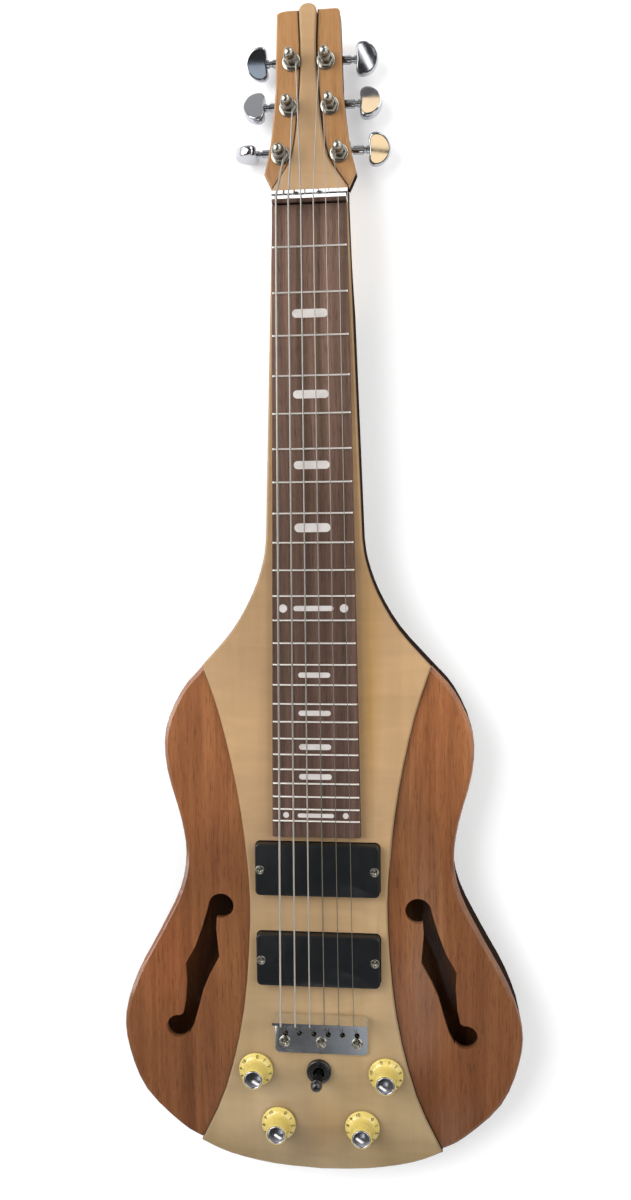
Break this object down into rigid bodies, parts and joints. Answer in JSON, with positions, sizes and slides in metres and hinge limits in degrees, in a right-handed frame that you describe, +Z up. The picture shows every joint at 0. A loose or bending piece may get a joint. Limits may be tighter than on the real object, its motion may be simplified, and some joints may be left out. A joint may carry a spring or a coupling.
{
  "type": "lap steel guitar",
  "caption": "Electric lap steel guitar, played flat: full-length core, hollow wings, raised nut and bridge, geared tuners, turning knobs and a toggle switch.",
  "frame": {"origin": "centre of the footprint on the floor, under the flat back", "axes": "+X to the player's far side (the right of the picture), +Y from the tail to the headstock, +Z up out of the face"},
  "size_m": [0.2924, 0.8206, 0.062],
  "materials": {
    "maple": "gloss",
    "mahogany": "gloss",
    "rosewood": "satin",
    "chrome": "gloss",
    "string_steel": "satin",
    "black_plastic": "satin",
    "cream_plastic": "gloss",
    "plated_steel": "satin"
  },
  "bodies": {
    "guitar": {"neck_core": "maple", "wing_left_body": "mahogany", "wing_left_top": "mahogany", "wing_right_body": "mahogany", "wing_right_top": "mahogany", "headstock_ear_left": "mahogany", "headstock_ear_right": "mahogany", "fingerboard": "rosewood", "nut": "chrome", "bridge": "chrome", "neck_pickup": "black_plastic", "bridge_pickup": "black_plastic", "string_1": "string_steel", "string_2": "string_steel", "string_3": "string_steel", "string_4": "string_steel", "string_5": "string_steel", "string_6": "string_steel", "pot_1": "plated_steel", "pot_2": "plated_steel", "pot_3": "plated_steel", "pot_4": "plated_steel", "switch_body": "black_plastic", "switch_nut": "black_plastic", "control_cover": "black_plastic", "output_jack": "chrome", "tuner_housing_1": "chrome", "tuner_housing_2": "chrome", "tuner_housing_3": "chrome", "tuner_housing_4": "chrome", "tuner_housing_5": "chrome", "tuner_housing_6": "chrome", "tuner_bushing_1": "chrome", "tuner_bushing_2": "chrome", "tuner_bushing_3": "chrome", "tuner_bushing_4": "chrome", "tuner_bushing_5": "chrome", "tuner_bushing_6": "chrome"},
    "knob_1": {"knob_1": "cream_plastic", "knob_cap_1": "chrome"},
    "knob_2": {"knob_2": "cream_plastic", "knob_cap_2": "chrome"},
    "knob_3": {"knob_3": "cream_plastic", "knob_cap_3": "chrome"},
    "knob_4": {"knob_4": "cream_plastic", "knob_cap_4": "chrome"},
    "switch_lever": {"switch_lever": "black_plastic", "switch_tip": "black_plastic"},
    "tuner_button_1": {"tuner_button_1": "chrome"},
    "tuner_post_1": {"tuner_post_1": "chrome"},
    "tuner_button_2": {"tuner_button_2": "chrome"},
    "tuner_post_2": {"tuner_post_2": "chrome"},
    "tuner_button_3": {"tuner_button_3": "chrome"},
    "tuner_post_3": {"tuner_post_3": "chrome"},
    "tuner_button_4": {"tuner_button_4": "chrome"},
    "tuner_post_4": {"tuner_post_4": "chrome"},
    "tuner_button_5": {"tuner_button_5": "chrome"},
    "tuner_post_5": {"tuner_post_5": "chrome"},
    "tuner_button_6": {"tuner_button_6": "chrome"},
    "tuner_post_6": {"tuner_post_6": "chrome"}
  },
  "joints": [
    {"name": "knob_1_turn", "type": "hinge", "parent": "guitar", "child": "knob_1", "pos_m": [-0.04684, -0.33457, 0.046], "axis": [0, 0, 1], "range_deg": [-140, 140]},
    {"name": "knob_2_turn", "type": "hinge", "parent": "guitar", "child": "knob_2", "pos_m": [0.04809, -0.33457, 0.046], "axis": [0, 0, 1], "range_deg": [-140, 140]},
    {"name": "knob_3_turn", "type": "hinge", "parent": "guitar", "child": "knob_3", "pos_m": [-0.03067, -0.37525, 0.046], "axis": [0, 0, 1], "range_deg": [-140, 140]},
    {"name": "knob_4_turn", "type": "hinge", "parent": "guitar", "child": "knob_4", "pos_m": [0.03067, -0.37525, 0.046], "axis": [0, 0, 1], "range_deg": [-140, 140]},
    {"name": "switch_throw", "type": "hinge", "parent": "guitar", "child": "switch_lever", "pos_m": [-0.00071, -0.33457, 0.036], "axis": [1, 0, 0], "range_deg": [-14, 14]},
    {"name": "button_1_turn", "type": "hinge", "parent": "guitar", "child": "tuner_button_1", "pos_m": [-0.01999, 0.32182, 0.0128], "axis": [-1, 0, 0], "continuous": true},
    {"name": "post_1_turn", "type": "hinge", "parent": "guitar", "child": "tuner_post_1", "pos_m": [-0.01999, 0.31292, 0.0128], "axis": [0, 0, 1], "continuous": true},
    {"name": "button_2_turn", "type": "hinge", "parent": "guitar", "child": "tuner_button_2", "pos_m": [-0.01401, 0.35297, 0.0128], "axis": [-1, 0, 0], "continuous": true},
    {"name": "post_2_turn", "type": "hinge", "parent": "guitar", "child": "tuner_post_2", "pos_m": [-0.01401, 0.34407, 0.0128], "axis": [0, 0, 1], "continuous": true},
    {"name": "button_3_turn", "type": "hinge", "parent": "guitar", "child": "tuner_button_3", "pos_m": [-0.01161, 0.38246, 0.0128], "axis": [-1, 0, 0], "continuous": true},
    {"name": "post_3_turn", "type": "hinge", "parent": "guitar", "child": "tuner_post_3", "pos_m": [-0.01161, 0.37356, 0.0128], "axis": [0, 0, 1], "continuous": true},
    {"name": "button_4_turn", "type": "hinge", "parent": "guitar", "child": "tuner_button_4", "pos_m": [0.01999, 0.32182, 0.0128], "axis": [1, 0, 0], "continuous": true},
    {"name": "post_4_turn", "type": "hinge", "parent": "guitar", "child": "tuner_post_4", "pos_m": [0.01999, 0.31292, 0.0128], "axis": [0, 0, 1], "continuous": true},
    {"name": "button_5_turn", "type": "hinge", "parent": "guitar", "child": "tuner_button_5", "pos_m": [0.01401, 0.35297, 0.0128], "axis": [1, 0, 0], "continuous": true},
    {"name": "post_5_turn", "type": "hinge", "parent": "guitar", "child": "tuner_post_5", "pos_m": [0.01401, 0.34407, 0.0128], "axis": [0, 0, 1], "continuous": true},
    {"name": "button_6_turn", "type": "hinge", "parent": "guitar", "child": "tuner_button_6", "pos_m": [0.01161, 0.38246, 0.0128], "axis": [1, 0, 0], "continuous": true},
    {"name": "post_6_turn", "type": "hinge", "parent": "guitar", "child": "tuner_post_6", "pos_m": [0.01161, 0.37356, 0.0128], "axis": [0, 0, 1], "continuous": true}
  ],
  "couplings": [
    {"joint": "post_1_turn", "follows": "button_1_turn", "ratio": 0.066667},
    {"joint": "post_2_turn", "follows": "button_2_turn", "ratio": 0.066667},
    {"joint": "post_3_turn", "follows": "button_3_turn", "ratio": 0.066667},
    {"joint": "post_4_turn", "follows": "button_4_turn", "ratio": -0.066667},
    {"joint": "post_5_turn", "follows": "button_5_turn", "ratio": -0.066667},
    {"joint": "post_6_turn", "follows": "button_6_turn", "ratio": -0.066667}
  ]
}
